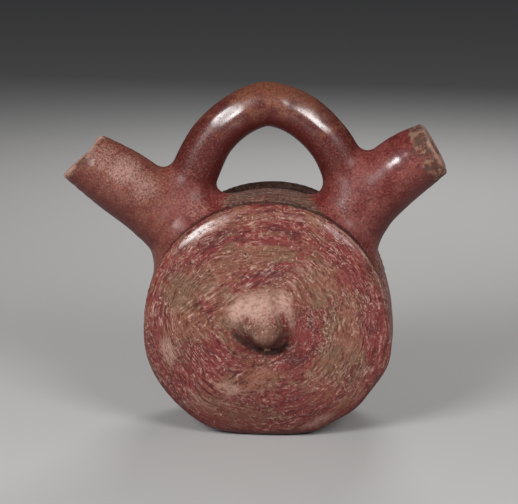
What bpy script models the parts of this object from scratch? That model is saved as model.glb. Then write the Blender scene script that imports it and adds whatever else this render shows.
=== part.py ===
"""Double-spout vessel of burnished red clay, hand built.

Two bulging discs close a drum-like body, whose band swells like a tyre between them. Two tapering
spouts rise from its shoulders, and a round arch between them is the handle. The body and both spouts
are hollow and joined, so what is poured in at one mouth comes out at the other.

The pot is one piece of clay, so its skin is one surface. It is first roughed out of turned and tubular
shapes, which a voxel remesh joins. Then each of its points is moved on to the true form, given by
vessel_gap: a distance in which the shapes run into each other through rounded fillets. The hollow, the
two bores and the flat foot are cut from it last.

X runs from spout to spout, -Y is the front and Z is up. The origin is the middle of the flat foot.
"""

import math

import bmesh
import bpy
import numpy as np

# Body, in metres. Depths are measured from the middle plane of the body, to the front and the back.
BAND_RADIUS = 0.0573
BAND_DIP = 0.0008
RIM_STEP = 0.0012
RIM_RADIUS = BAND_RADIUS - RIM_STEP
RIM_DEPTH = 0.0267
RIM_BACK = 0.003
FACE_BULGE = 0.0065
GROOVE_DROP = 0.0048
GROOVE_FILLET = 0.003
WALL = 0.005

# The lower half has no groove and is a little wider. The soft clay sagged to the right and the lower left
# and was pressed in beside the foot: (angle above the level in degrees, height, spread in degrees).
GROOVE_END_LOW = -0.42
GROOVE_END_HIGH = 0.05
LOWER_SWELL = 0.0012
SAGS = (
    (-16, 0.0023, 15),
    (-43, 0.0011, 8),
    (-60, -0.0006, 8),
    (-160, 0.0008, 28),
)

# The foot: how much of the round body is flattened away, and the clay left over it.
FOOT_CUT = 0.0041
FOOT_WEAR = 0.0004
FOOT_ROUND = 0.004
FLOOR = 0.005
AXIS_HEIGHT = BAND_RADIUS + LOWER_SWELL - FOOT_CUT

# Knobs on the two discs. The front one droops, and the back one is plain and low.
KNOB_PLACE = (-0.0010, 0.0020)
KNOB_SWAY = 0.0012
KNOB_ROOT_RADIUS = 0.0138
KNOB_TIP_RADIUS = 0.0056
KNOB_LENGTH = 0.0155
KNOB_DROOP = 0.0035
KNOB_FILLET = 0.006
BACK_KNOB_LENGTH = 0.007

# The arch and the spouts are set out round the body's axis, from places along their middle lines:
# (angle above the level in degrees, distance out from the band's crest, radius there).
ARCH = (
    (135.4, -0.0004, 0.0114),
    (123.3, 0.0109, 0.0113),
    (114.7, 0.0205, 0.0110),
    (108.1, 0.0282, 0.0104),
    (101.5, 0.0342, 0.0103),
    (95.8, 0.0382, 0.0103),
    (90.7, 0.0401, 0.0103),
    (85.3, 0.0386, 0.0103),
    (79.7, 0.0352, 0.0103),
    (73.3, 0.0297, 0.0103),
    (67.1, 0.0233, 0.0104),
    (58.8, 0.0134, 0.0105),
    (46.0, 0.0010, 0.0106),
)
ARCH_FILLET = 0.0075
LEFT_SPOUT = (
    (134.2, -0.0085, 0.0202),
    (137.8, 0.0183, 0.0163),
    (139.5, 0.0380, 0.0154),
    (140.7, 0.0567, 0.0130),
)
RIGHT_SPOUT = (
    (49.8, -0.0069, 0.0165),
    (49.0, 0.0169, 0.0155),
    (47.6, 0.0361, 0.0149),
    (45.0, 0.0519, 0.0132),
)
LEFT_MOUTH_TILT = math.radians(136)
RIGHT_MOUTH_TILT = math.radians(30)
SPOUT_FILLET = 0.009
SPOUT_WALL = 0.0038
LIP_ROUND = 0.0018

# Fineness of the meshes, and the steps that move their points on to the true form.
VOXEL = 0.001
SKIN_TRIANGLES = 8000
TUBE_STEPS = 3
TUBE_SIDES = 16
TURN_STEPS = 36
DISC_POINTS = 11
BAND_POINTS = 8
HOLLOW_POINTS = 9
CUT_PAST = 0.006
SLOPE_STEP = 0.0001
LEAST_SLOPE = 0.5
REMESH_ROUNDS = 2
SETTLE_ROUNDS = 2
SMOOTH_ROUNDS = 3
MERGE = 0.00001
SHARP_ANGLE = math.radians(35)


def clear_scene():
    for obj in list(bpy.data.objects):
        bpy.data.objects.remove(obj, do_unlink=True)


def new_collection(name):
    collection = bpy.data.collections.new(name)
    bpy.context.scene.collection.children.link(collection)
    return collection


def fired_clay():
    """Red slip, burnished, with the tan clay body showing where it is worn."""
    material = bpy.data.materials.new("fired clay")
    material.use_nodes = True
    shader = material.node_tree.nodes["Principled BSDF"]
    shader.inputs["Base Color"].default_value = (0.20, 0.07, 0.05, 1.0)
    shader.inputs["Roughness"].default_value = 0.45
    shader.inputs["Metallic"].default_value = 0.0
    return material


# Outlines and middle lines


def middle_line(places):
    """Points and radii along a smooth curve through an arch's or a spout's places."""
    angles, out, radii = np.array(places).T
    angles = np.radians(angles)
    reach = BAND_RADIUS + out
    places = np.stack([reach * np.cos(angles), reach * np.sin(angles), radii], axis=1)
    ends = np.vstack([2 * places[0] - places[1], places, 2 * places[-1] - places[-2]])
    line = []
    for before, start, end, after in zip(ends, ends[1:], ends[2:], ends[3:]):
        for t in np.arange(TUBE_STEPS) / TUBE_STEPS:
            bend = 2 * before - 5 * start + 4 * end - after
            twist = 3 * (start - end) + after - before
            line.append(start + t * (end - before + t * (bend + t * twist)) / 2)
    x, height, radii = np.array([*line, places[-1]]).T
    return np.stack([x, np.zeros(len(x)), AXIS_HEIGHT + height], axis=1), radii


def lengthened(points, radii, past):
    """A middle line that goes straight on past its last point."""
    onward = points[-1] - points[-2]
    onward *= past / np.linalg.norm(onward)
    return np.vstack([points, points[-1] + onward]), np.append(radii, radii[-1])


def band_outline(groove_drop):
    """(radius, depth) of one half of the band, from its crest to the disc, over which it drops."""
    drop = BAND_RADIUS - RIM_RADIUS + groove_drop
    swell = (RIM_DEPTH**2 + drop**2) / (2 * drop)
    depths = np.linspace(0, RIM_DEPTH, BAND_POINTS)
    return np.stack([BAND_RADIUS - swell + np.sqrt(swell**2 - depths**2), depths], axis=1)


def disc_outline():
    """(radius, depth) of one disc, from the middle of its back over the rim to the middle of its face."""
    turn = np.linspace(math.pi / 2, 0, DISC_POINTS)
    radius = RIM_RADIUS * np.sqrt(np.sin(turn))
    back = np.stack([radius, RIM_DEPTH - RIM_BACK * np.cos(turn)], axis=1)
    face = np.stack([radius, RIM_DEPTH + FACE_BULGE * np.cos(turn)], axis=1)
    return np.vstack([back[:0:-1], face])


def body_outline():
    """(radius, depth) of one half of a body with no groove, from the crest to the middle of the face."""
    return np.vstack([band_outline(0.0)[:-1], disc_outline()[DISC_POINTS - 1 :]])


def hollow_outline():
    """(radius, depth) of one half of the hollow, a wall's thickness inside the body."""
    turn = np.linspace(math.pi / 2, 0, HOLLOW_POINTS)
    radius = BAND_RADIUS - WALL
    depth = RIM_DEPTH + FACE_BULGE - WALL
    return np.stack([radius * np.sqrt(np.sin(turn)), depth * np.sqrt(np.cos(turn))], axis=1)


# The true form, as a distance that is negative inside the clay


def outline_gap(radius, depth, outline):
    """Distance to an outline of (radius, depth) places whose depth never turns back."""
    nearest = np.full(len(radius), np.inf)
    for (r0, d0), (r1, d1) in zip(outline, outline[1:]):
        run, rise = r1 - r0, d1 - d0
        along = np.clip(((radius - r0) * run + (depth - d0) * rise) / (run**2 + rise**2), 0, 1)
        away = np.hypot(radius - r0 - along * run, depth - d0 - along * rise)
        nearest = np.minimum(nearest, away)
    edge = np.interp(depth, outline[:, 1], outline[:, 0], left=-1.0, right=-1.0)
    return np.where(radius < edge, -nearest, nearest)


def tube_gap(points, line, radii):
    """Distance to a tube along a line of points, with a radius at each."""
    nearest = np.full(len(points), np.inf)
    for start, end, wide, narrow in zip(line, line[1:], radii, radii[1:]):
        run = end - start
        along = np.clip((points - start) @ run / (run @ run), 0, 1)
        away = np.linalg.norm(points - start - along[:, None] * run, axis=1)
        nearest = np.minimum(nearest, away - wide - along * (narrow - wide))
    return nearest


def joined(one, other, fillet):
    """The union of two distances, with a fillet of this radius where they meet."""
    near = np.hypot(np.maximum(fillet - one, 0), np.maximum(fillet - other, 0))
    return np.maximum(fillet, np.minimum(one, other)) - near


def kept(one, other, rounding):
    """What two distances have in common, with this rounding on the edge between them."""
    over = np.hypot(np.maximum(rounding + one, 0), np.maximum(rounding + other, 0))
    return np.minimum(-rounding, np.maximum(one, other)) + over


def body_gaps(points):
    """Distances from the smeared body, the band alone and the discs alone, and how far it is grooved."""
    across, height = points[:, 0], points[:, 2] - AXIS_HEIGHT
    turn = np.arctan2(height, across)
    radius = np.hypot(across, height)
    grooved = np.clip((np.sin(turn) - GROOVE_END_LOW) / (GROOVE_END_HIGH - GROOVE_END_LOW), 0, 1)
    grooved = grooved**2 * (3 - 2 * grooved)
    swell = LOWER_SWELL * (1 - grooved)
    for angle, bulge, spread in SAGS:
        away = np.mod(turn - math.radians(angle) + math.pi, 2 * math.pi) - math.pi
        swell = swell + bulge * np.exp(-((away / math.radians(spread)) ** 2))
    radius = radius - swell * np.minimum(radius / RIM_RADIUS, 1)
    depth = np.abs(points[:, 1])
    plain = outline_gap(radius, depth, body_outline())
    dip = BAND_DIP * np.maximum(np.sin(turn), 0) ** 2
    band = outline_gap(radius + dip, depth, band_outline(GROOVE_DROP))
    return plain, band, outline_gap(radius, depth, disc_outline()), grooved


def knob_line(side):
    """Root and tip of the knob on the front disc (side -1) or the back one (side 1)."""
    length, sway, droop = (KNOB_LENGTH, KNOB_SWAY, KNOB_DROOP) if side < 0 else (BACK_KNOB_LENGTH, 0.0, 0.0)
    x, height = KNOB_PLACE
    tip_depth = RIM_DEPTH + FACE_BULGE + length - KNOB_TIP_RADIUS
    root = (x, side * RIM_DEPTH, AXIS_HEIGHT + height)
    tip = (x + sway, side * tip_depth, AXIS_HEIGHT + height - droop)
    return np.array([root, tip])


def spout_gap(points, spout, tilt):
    """Distance from a spout, cut off flat at its mouth."""
    line, radii = middle_line(spout)
    outward = np.array((math.cos(tilt), 0.0, math.sin(tilt)))
    tube = tube_gap(points, *lengthened(line, radii, CUT_PAST))
    return kept(tube, (points - line[-1]) @ outward, LIP_ROUND)


def vessel_gap(points):
    """Distance of each point from the skin of the vessel, negative in the clay."""
    left = spout_gap(points, LEFT_SPOUT, LEFT_MOUTH_TILT)
    right = spout_gap(points, RIGHT_SPOUT, RIGHT_MOUTH_TILT)
    upper = joined(tube_gap(points, *middle_line(ARCH)), np.minimum(left, right), ARCH_FILLET)
    plain, band, discs, grooved = body_gaps(points)
    smeared = joined(plain, upper, SPOUT_FILLET)
    luted = joined(joined(band, upper, SPOUT_FILLET), discs, GROOVE_FILLET)
    gap = smeared + grooved * (luted - smeared)
    for side in (-1, 1):
        knob = tube_gap(points, knob_line(side), (KNOB_ROOT_RADIUS, KNOB_TIP_RADIUS))
        gap = joined(gap, knob, KNOB_FILLET)
    return kept(gap, -FOOT_WEAR - points[:, 2], FOOT_ROUND)


def settled(points):
    """The points, moved on to the skin along the slope of the distance."""
    for _ in range(SETTLE_ROUNDS):
        gap = vessel_gap(points)
        steps = np.eye(3) * SLOPE_STEP
        slope = np.stack([(vessel_gap(points + step) - gap) / SLOPE_STEP for step in steps], axis=1)
        steep = np.maximum((slope**2).sum(axis=1), LEAST_SLOPE**2)
        points = points - slope * (gap / steep)[:, None]
    return points


# Meshes


def turned(name, outline, collection):
    """A solid turned round the body's level axis, from the outline of one half of it."""
    profile = np.vstack([outline[::-1] * (1, -1), outline[1:]])
    mesh = bpy.data.meshes.new(name)
    edges = [(i, i + 1) for i in range(len(profile) - 1)]
    mesh.from_pydata([(radius, depth, 0.0) for radius, depth in profile[::-1]], edges, [])
    obj = bpy.data.objects.new(name, mesh)
    collection.objects.link(obj)
    obj.location = (0.0, 0.0, AXIS_HEIGHT)
    screw = obj.modifiers.new("turn", "SCREW")
    screw.axis = "Y"
    screw.steps = screw.render_steps = TURN_STEPS
    screw.use_merge_vertices = True
    screw.merge_threshold = MERGE
    return obj


def tube(name, line, radii, collection):
    """A solid tube along a line of points, as a mesh."""
    curve = bpy.data.curves.new(name, "CURVE")
    curve.dimensions = "3D"
    curve.fill_mode = "FULL"
    curve.bevel_depth = 1.0
    curve.bevel_resolution = TUBE_SIDES // 2 - 2
    curve.use_fill_caps = True
    spline = curve.splines.new("POLY")
    spline.points.add(len(line) - 1)
    for point, place, radius in zip(spline.points, line, radii):
        point.co = (*place, 1.0)
        point.radius = radius
    guide = bpy.data.objects.new(name + " line", curve)
    collection.objects.link(guide)
    graph = bpy.context.evaluated_depsgraph_get()
    mesh = bpy.data.meshes.new_from_object(guide.evaluated_get(graph))
    bpy.data.objects.remove(guide)
    work = bmesh.new()
    work.from_mesh(mesh)
    bmesh.ops.remove_doubles(work, verts=work.verts, dist=MERGE)
    bmesh.ops.recalc_face_normals(work, faces=work.faces)
    work.to_mesh(mesh)
    work.free()
    obj = bpy.data.objects.new(name, mesh)
    collection.objects.link(obj)
    return obj


def block(name, top, collection):
    """A broad block whose top is level, at this height."""
    reach = 2 * BAND_RADIUS
    bpy.ops.mesh.primitive_cube_add(size=2 * reach, location=(0.0, 0.0, top - reach))
    obj = bpy.context.active_object
    obj.name = name
    for home in list(obj.users_collection):
        home.objects.unlink(obj)
    collection.objects.link(obj)
    return obj


def evaluated_mesh(obj):
    graph = bpy.context.evaluated_depsgraph_get()
    return bpy.data.meshes.new_from_object(obj.evaluated_get(graph))


def points_of(mesh):
    points = np.empty(len(mesh.vertices) * 3)
    mesh.vertices.foreach_get("co", points)
    return points.reshape(-1, 3)


def rough_parts(collection):
    """The shapes that the skin is roughed out of."""
    parts = [turned("rough body", body_outline(), collection)]
    for side in (-1, 1):
        root, tip = knob_line(side)
        nose = tip + (tip - root) * KNOB_TIP_RADIUS / np.linalg.norm(tip - root)
        radii = (KNOB_ROOT_RADIUS, KNOB_TIP_RADIUS, KNOB_TIP_RADIUS / 2)
        parts.append(tube("rough knob", (root, tip, nose), radii, collection))
    for name, places in (("arch", ARCH), ("left spout", LEFT_SPOUT), ("right spout", RIGHT_SPOUT)):
        parts.append(tube("rough " + name, *middle_line(places), collection))
    return parts


def remeshed(obj):
    """The object's mesh rebuilt of even faces, with whatever overlaps in it joined."""
    remesh = obj.modifiers.new("join", "REMESH")
    remesh.mode = "VOXEL"
    remesh.voxel_size = VOXEL
    mesh = evaluated_mesh(obj)
    obj.modifiers.clear()
    return mesh


def settle(mesh):
    """Moves the mesh's points on to the skin."""
    mesh.vertices.foreach_set("co", settled(points_of(mesh)).ravel())


def evened(mesh):
    """Spreads the mesh's points out evenly."""
    work = bmesh.new()
    work.from_mesh(mesh)
    for _ in range(SMOOTH_ROUNDS):
        bmesh.ops.smooth_vert(
            work, verts=work.verts, factor=0.5, use_axis_x=True, use_axis_y=True, use_axis_z=True
        )
    work.to_mesh(mesh)
    work.free()


def skin(name, collection):
    """The outer skin of the vessel: one closed mesh, with no hollow yet."""
    work = bmesh.new()
    for part in rough_parts(collection):
        mesh = evaluated_mesh(part)
        mesh.transform(part.matrix_basis)
        work.from_mesh(mesh)
        bpy.data.objects.remove(part)
    rough = bpy.data.meshes.new(name)
    work.to_mesh(rough)
    work.free()
    obj = bpy.data.objects.new(name, rough)
    collection.objects.link(obj)
    for _ in range(REMESH_ROUNDS):
        obj.data = remeshed(obj)
        settle(obj.data)
        evened(obj.data)
        settle(obj.data)
    thin = obj.modifiers.new("thin out", "DECIMATE")
    thin.ratio = SKIN_TRIANGLES / (2 * len(obj.data.polygons))
    light = evaluated_mesh(obj)
    obj.modifiers.clear()
    settle(light)
    obj.data = light
    return obj


def cut(obj, cutter):
    """Takes the cutter's shape out of the object."""
    boolean = obj.modifiers.new("cut " + cutter.name, "BOOLEAN")
    boolean.operation = "DIFFERENCE"
    boolean.solver = "EXACT"
    boolean.object = cutter


def cutters(collection):
    """The hollow, the two bores that open it, and the block that flattens the foot."""
    hollow = turned("hollow", hollow_outline(), collection)
    cut(hollow, block("inner floor", FLOOR, collection))
    found = [hollow, block("ground", 0.0, collection)]
    for name, spout in (("left bore", LEFT_SPOUT), ("right bore", RIGHT_SPOUT)):
        line, radii = lengthened(*middle_line(spout), CUT_PAST)
        found.append(tube(name, line, radii - SPOUT_WALL, collection))
    for obj in collection.objects:
        obj.hide_render = True
        obj.display_type = "WIRE"
    return found


def main():
    clear_scene()
    pot = new_collection("double-spout vessel")
    vessel = skin("vessel", pot)
    for cutter in cutters(new_collection("cutters")):
        cut(vessel, cutter)
    vessel.data.materials.append(fired_clay())
    vessel.data.shade_smooth()
    vessel.data.set_sharp_from_angle(angle=SHARP_ANGLE)


main()
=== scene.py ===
# %% [markdown]
# # A double-spout vessel of burnished clay
#
# The real pot was built by hand: two bulging discs, a band between them, two spouts and an arched handle,
# all smeared into one skin, covered with red slip and polished with a pebble. Long use and burial wore the
# slip through to the tan clay, in patches and along the strokes of the pebble.
#
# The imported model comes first. It has the right size and the right main forms, in few flat faces, so here a
# finer skin takes its place, made on the same measurements.

import math

import bmesh
import bpy
import numpy as np
from mathutils import Matrix, Vector, noise


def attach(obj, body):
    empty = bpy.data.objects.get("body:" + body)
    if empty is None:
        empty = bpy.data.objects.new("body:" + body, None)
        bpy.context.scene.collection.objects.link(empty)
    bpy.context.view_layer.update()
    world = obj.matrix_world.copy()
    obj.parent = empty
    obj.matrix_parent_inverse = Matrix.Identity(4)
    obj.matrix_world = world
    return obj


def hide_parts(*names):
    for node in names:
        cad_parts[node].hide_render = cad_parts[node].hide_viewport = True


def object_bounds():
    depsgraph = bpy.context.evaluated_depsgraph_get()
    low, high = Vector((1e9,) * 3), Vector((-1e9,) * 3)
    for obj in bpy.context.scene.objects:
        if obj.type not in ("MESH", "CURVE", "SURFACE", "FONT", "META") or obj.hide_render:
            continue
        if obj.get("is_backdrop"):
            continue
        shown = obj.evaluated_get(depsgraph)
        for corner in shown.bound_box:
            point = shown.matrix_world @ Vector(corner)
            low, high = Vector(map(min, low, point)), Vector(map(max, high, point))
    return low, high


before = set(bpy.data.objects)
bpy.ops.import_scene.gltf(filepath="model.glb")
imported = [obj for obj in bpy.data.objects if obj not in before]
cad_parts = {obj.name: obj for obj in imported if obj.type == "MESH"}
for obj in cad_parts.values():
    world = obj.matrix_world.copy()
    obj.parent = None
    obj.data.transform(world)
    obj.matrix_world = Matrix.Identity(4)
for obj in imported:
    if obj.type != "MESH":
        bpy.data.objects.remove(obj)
cad_low, cad_high = (np.array(corner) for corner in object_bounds())
print("packed model, millimetres:", ((cad_high - cad_low) * 1000).round(1))

# %% [markdown]
# ## The camera
#
# The front disc's rim is a circle on the pot and an ellipse in the photograph. Its squash and the strip of
# the far rim that shows over the band say how the camera stood: a little to the right and 13 degrees above.
# A long lens from 85 cm gives the same gentle perspective.

# %% The camera
PHOTO_WIDTH = 518
METRES_PER_PIXEL = 0.0004714
CAMERA_DISTANCE = 0.85
CAMERA_TURN = math.radians(3.5)
CAMERA_RISE = math.radians(13)
CAMERA_AIM = Vector((-0.00491, 0.0, 0.08143))


def direction(turn, rise):
    """From the pot towards something that is turned to the right of the front and raised by these angles."""
    return Vector((math.sin(turn) * math.cos(rise), -math.cos(turn) * math.cos(rise), math.sin(rise)))


def facing(obj, place, aim):
    """Puts a camera or lamp at a place, looking at the aim."""
    obj.location = place
    obj.rotation_euler = (aim - place).to_track_quat("-Z", "Y").to_euler()


def new_object(name, data):
    """An object in the scene, at the origin."""
    obj = bpy.data.objects.new(name, data)
    bpy.context.scene.collection.objects.link(obj)
    return obj


camera = new_object("camera", bpy.data.cameras.new("camera"))
camera.data.lens = CAMERA_DISTANCE / METRES_PER_PIXEL / PHOTO_WIDTH * camera.data.sensor_width
facing(camera, CAMERA_AIM + direction(CAMERA_TURN, CAMERA_RISE) * CAMERA_DISTANCE, CAMERA_AIM)
bpy.context.scene.camera = camera
print("lens, millimetres:", round(camera.data.lens, 1))

# %% [markdown]
# ## The form, as a distance
#
# Nothing on this pot meets at an edge: every joint was smeared over with a wet thumb. A good way to say such
# a form is a signed distance, a number for each point in space that is zero on the skin and negative in the
# clay. Shapes join by taking the smaller distance, and a rounded version of that gives the thumbed fillets.
# Here are the measurements, in metres: discs and band first, then the places along the arch and the spouts
# as (angle round the body in degrees, distance out from the band's crest, radius).

# %% Measurements of the body
BAND_RADIUS = 0.0573
BAND_DIP = 0.0008
RIM_STEP = 0.0012
RIM_RADIUS = BAND_RADIUS - RIM_STEP
RIM_DEPTH = 0.0267
RIM_BACK = 0.003
FACE_BULGE = 0.0065
GROOVE_DROP = 0.0048
GROOVE_FILLET = 0.0008
GROOVE_END_LOW = -0.42
GROOVE_END_HIGH = 0.05
LOWER_SWELL = 0.0012
SAGS = (
    (-16, 0.0023, 15),
    (-43, 0.0011, 8),
    (-60, -0.0006, 8),
    (-160, 0.0008, 28),
)
WALL = 0.005
FLOOR = 0.005
FOOT_CUT = 0.0041
FOOT_ROUND = 0.0045
AXIS_HEIGHT = BAND_RADIUS + LOWER_SWELL - FOOT_CUT

# %% Measurements of the knobs, the arch and the spouts
KNOB_PLACE = (-0.0010, 0.0020)
KNOB_SWAY = 0.0012
KNOB_ROOT_RADIUS = 0.0138
KNOB_TIP_RADIUS = 0.0056
KNOB_LENGTH = 0.0155
KNOB_DROOP = 0.0035
KNOB_FILLET = 0.006
BACK_KNOB_LENGTH = 0.007
ARCH = (
    (135.4, -0.0004, 0.0114),
    (123.3, 0.0109, 0.0113),
    (114.7, 0.0205, 0.0110),
    (108.1, 0.0282, 0.0104),
    (101.5, 0.0342, 0.0103),
    (95.8, 0.0382, 0.0103),
    (90.7, 0.0401, 0.0103),
    (85.3, 0.0386, 0.0103),
    (79.7, 0.0352, 0.0103),
    (73.3, 0.0297, 0.0103),
    (67.1, 0.0233, 0.0104),
    (58.8, 0.0134, 0.0105),
    (46.0, 0.0010, 0.0106),
)
ARCH_FILLET = 0.0075
LEFT_SPOUT = (
    (134.2, -0.0085, 0.0202),
    (137.8, 0.0183, 0.0163),
    (139.5, 0.0380, 0.0154),
    (140.7, 0.0567, 0.0130),
)
RIGHT_SPOUT = (
    (49.8, -0.0069, 0.0165),
    (49.0, 0.0169, 0.0155),
    (47.6, 0.0361, 0.0149),
    (45.0, 0.0519, 0.0132),
)
LEFT_MOUTH_TILT = math.radians(136)
RIGHT_MOUTH_TILT = math.radians(30)
SPOUT_FILLET = 0.009
SPOUT_WALL = 0.0038
LIP_ROUND = 0.0016
SPOUTS = ((LEFT_SPOUT, LEFT_MOUTH_TILT), (RIGHT_SPOUT, RIGHT_MOUTH_TILT))

# %% [markdown]
# The arch and the spouts need a smooth line through their places. A Catmull-Rom curve passes through every
# place that it is given, so the places can be read straight off the photograph.

# %% Middle lines of the arch and the spouts
LINE_STEPS = 4


def middle_line(places):
    """Points and radii along a smooth curve through an arch's or a spout's places."""
    angles, out, radii = np.array(places).T
    angles = np.radians(angles)
    reach = BAND_RADIUS + out
    places = np.stack([reach * np.cos(angles), reach * np.sin(angles), radii], axis=1)
    ends = np.vstack([2 * places[0] - places[1], places, 2 * places[-1] - places[-2]])
    line = []
    for before, start, end, after in zip(ends, ends[1:], ends[2:], ends[3:]):
        for t in np.arange(LINE_STEPS) / LINE_STEPS:
            bend = 2 * before - 5 * start + 4 * end - after
            twist = 3 * (start - end) + after - before
            line.append(start + t * (end - before + t * (bend + t * twist)) / 2)
    x, height, radii = np.array([*line, places[-1]]).T
    return np.stack([x, np.zeros(len(x)), AXIS_HEIGHT + height], axis=1), radii


def lengthened(points, radii, past):
    """A middle line that goes straight on past its last point."""
    onward = points[-1] - points[-2]
    onward *= past / np.linalg.norm(onward)
    return np.vstack([points, points[-1] + onward]), np.append(radii, radii[-1])


def inward(points, radii, reach):
    """The last stretch of a middle line, this long, and a little past its end."""
    points, radii = lengthened(points, radii - SPOUT_WALL, reach / 2)
    away = np.linalg.norm(points - points[-2], axis=1)
    return points[away < reach], radii[away < reach]


print("points along the arch:", len(middle_line(ARCH)[0]))

# %% [markdown]
# The body is round about a level axis, so its outlines are given as (radius, depth from the middle plane).
# The band is a shallow arc, like a tyre's tread. Each disc is a squashed dome with a tight turn at its rim,
# which a superellipse gives in one line. The hollow follows the outside, a wall's thickness in.

# %% Outlines of the body
OUTLINE_POINTS = 24


def band_outline(groove_drop):
    """One half of the band, from its crest to the disc, over which it drops."""
    drop = BAND_RADIUS - RIM_RADIUS + groove_drop
    swell = (RIM_DEPTH**2 + drop**2) / (2 * drop)
    depths = np.linspace(0, RIM_DEPTH, OUTLINE_POINTS)
    return np.stack([BAND_RADIUS - swell + np.sqrt(swell**2 - depths**2), depths], axis=1)


def disc_outline():
    """One disc, from the middle of its back over the rim to the middle of its face."""
    turn = np.linspace(math.pi / 2, 0, OUTLINE_POINTS)
    radius = RIM_RADIUS * np.sqrt(np.sin(turn))
    back = np.stack([radius, RIM_DEPTH - RIM_BACK * np.cos(turn)], axis=1)
    face = np.stack([radius, RIM_DEPTH + FACE_BULGE * np.cos(turn)], axis=1)
    return np.vstack([back[:0:-1], face])


def body_outline():
    """One half of a body with no groove, from the crest to the middle of the face."""
    return np.vstack([band_outline(0.0)[:-1], disc_outline()[OUTLINE_POINTS - 1 :]])


def hollow_outline():
    """One half of the hollow inside the body."""
    turn = np.linspace(math.pi / 2, 0, OUTLINE_POINTS)
    radius = BAND_RADIUS - WALL
    depth = RIM_DEPTH + FACE_BULGE - WALL
    return np.stack([radius * np.sqrt(np.sin(turn)), depth * np.sqrt(np.cos(turn))], axis=1)


# %% Distances from outlines and tubes, and ways to combine them
def outline_gap(radius, depth, outline):
    """Distance to an outline of (radius, depth) places whose depth never turns back."""
    nearest = np.full(len(radius), np.inf)
    for (r0, d0), (r1, d1) in zip(outline, outline[1:]):
        run, rise = r1 - r0, d1 - d0
        along = np.clip(((radius - r0) * run + (depth - d0) * rise) / (run**2 + rise**2), 0, 1)
        away = np.hypot(radius - r0 - along * run, depth - d0 - along * rise)
        nearest = np.minimum(nearest, away)
    edge = np.interp(depth, outline[:, 1], outline[:, 0], left=-1.0, right=-1.0)
    return np.where(radius < edge, -nearest, nearest)


def tube_gap(points, line, radii):
    """Distance to a tube along a line of points, with a radius at each."""
    nearest = np.full(len(points), np.inf)
    for start, end, wide, narrow in zip(line, line[1:], radii, radii[1:]):
        run = end - start
        along = np.clip((points - start) @ run / (run @ run), 0, 1)
        away = np.linalg.norm(points - start - along[:, None] * run, axis=1)
        nearest = np.minimum(nearest, away - wide - along * (narrow - wide))
    return nearest


def joined(one, other, fillet):
    """The union of two distances, with a fillet of this radius where they meet."""
    near = np.hypot(np.maximum(fillet - one, 0), np.maximum(fillet - other, 0))
    return np.maximum(fillet, np.minimum(one, other)) - near


def kept(one, other, rounding):
    """What two distances have in common, with this rounding on the edge between them."""
    over = np.hypot(np.maximum(rounding + one, 0), np.maximum(rounding + other, 0))
    return np.minimum(-rounding, np.maximum(one, other)) + over


def ramp(value, low, high):
    """Rises from 0 at low to 1 at high, with no corner."""
    share = np.clip((value - low) / (high - low), 0, 1)
    return share * share * (3 - 2 * share)


# %% [markdown]
# Behind each disc's rim runs a groove where the disc was luted on. It is deep over the top half and was
# smeared shut lower down, where the wet clay also sagged a little to the right and to the lower left.

# %% The discs and the band between them
def seen_from_front(points):
    """How far each point is to the right of the body's axis, and how far above it."""
    return points[:, 0], points[:, 2] - AXIS_HEIGHT


def body_places(points):
    """Radius and depth on the body, with the swellings taken off, the crest's dip and the share of groove."""
    across, height = seen_from_front(points)
    turn = np.arctan2(height, across)
    radius = np.hypot(across, height)
    grooved = ramp(np.sin(turn), GROOVE_END_LOW, GROOVE_END_HIGH)
    swell = LOWER_SWELL * (1 - grooved)
    for angle, bulge, spread in SAGS:
        away = np.mod(turn - math.radians(angle) + math.pi, 2 * math.pi) - math.pi
        swell = swell + bulge * np.exp(-((away / math.radians(spread)) ** 2))
    dip = BAND_DIP * np.maximum(np.sin(turn), 0) ** 2
    return radius - swell * np.minimum(radius / RIM_RADIUS, 1), np.abs(points[:, 1]), dip, grooved


def body_gaps(points):
    """Distances from the smeared body, the band alone and the discs alone, and the groove's share."""
    radius, depth, dip, grooved = body_places(points)
    plain = outline_gap(radius, depth, body_outline())
    band = outline_gap(radius + dip, depth, band_outline(GROOVE_DROP))
    discs = outline_gap(radius, depth, disc_outline())
    return plain, band, discs, grooved


def body_gap(points):
    """Distance from the whole body."""
    plain, band, discs, grooved = body_gaps(points)
    return plain + grooved * (joined(band, discs, GROOVE_FILLET) - plain)


# %% The knobs, the arch and the spouts
def knob_line(side):
    """Root and tip of the knob on the front disc (side -1) or the back one (side 1)."""
    length, sway, droop = (KNOB_LENGTH, KNOB_SWAY, KNOB_DROOP) if side < 0 else (BACK_KNOB_LENGTH, 0.0, 0.0)
    x, height = KNOB_PLACE
    tip_depth = RIM_DEPTH + FACE_BULGE + length - KNOB_TIP_RADIUS
    root = (x, side * RIM_DEPTH, AXIS_HEIGHT + height)
    tip = (x + sway, side * tip_depth, AXIS_HEIGHT + height - droop)
    return np.array([root, tip])


def knob_gap(points, side):
    return tube_gap(points, knob_line(side), (KNOB_ROOT_RADIUS, KNOB_TIP_RADIUS))


def mouth_gap(points, spout, tilt):
    """Distance past the plane of a spout's mouth."""
    outward = np.array((math.cos(tilt), 0.0, math.sin(tilt)))
    return (points - middle_line(spout)[0][-1]) @ outward


BORE_REACH = 0.024
PAST_MOUTH = 0.006


def spout_gap(points, spout, tilt):
    """Distance from a spout with no bore, cut off at its mouth."""
    tube = tube_gap(points, *lengthened(*middle_line(spout), PAST_MOUTH))
    return kept(tube, mouth_gap(points, spout, tilt), LIP_ROUND)


def bores_gap(points):
    """Distance from the open stretch of each bore, next to its mouth."""
    return np.minimum(*(tube_gap(points, *inward(*middle_line(spout), BORE_REACH)) for spout, _ in SPOUTS))


# %% [markdown]
# All of it together. The bores are taken out last, with the same rounding as the outside of the lips, so
# that the lips come out as worn and blunt as the real ones.

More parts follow.
